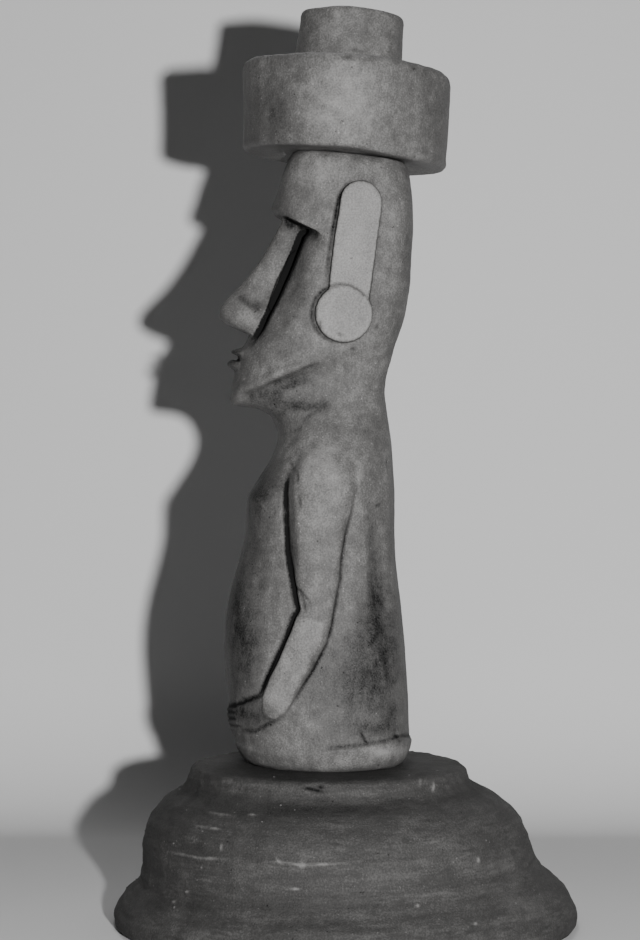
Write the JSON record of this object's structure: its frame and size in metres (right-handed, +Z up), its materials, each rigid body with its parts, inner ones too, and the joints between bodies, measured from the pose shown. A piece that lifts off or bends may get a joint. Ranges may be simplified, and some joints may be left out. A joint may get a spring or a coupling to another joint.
{
  "type": "clay moai statue",
  "caption": "Clay statue of a moai: a long-faced half figure with hands on its belly and a round topknot, on a round domed plinth",
  "frame": {"origin": "middle of the plinth's flat underside, on the surface that the statue stands on", "axes": "+Z up through the statue, the figure faces -Y, its left side is +X"},
  "size_m": [0.205, 0.205, 0.4],
  "materials": {
    "grey_clay": "matte",
    "dark_clay": "matte"
  },
  "bodies": {
    "root": {"plinth": "dark_clay", "figure": "grey_clay", "topknot": "grey_clay"}
  },
  "joints": []
}
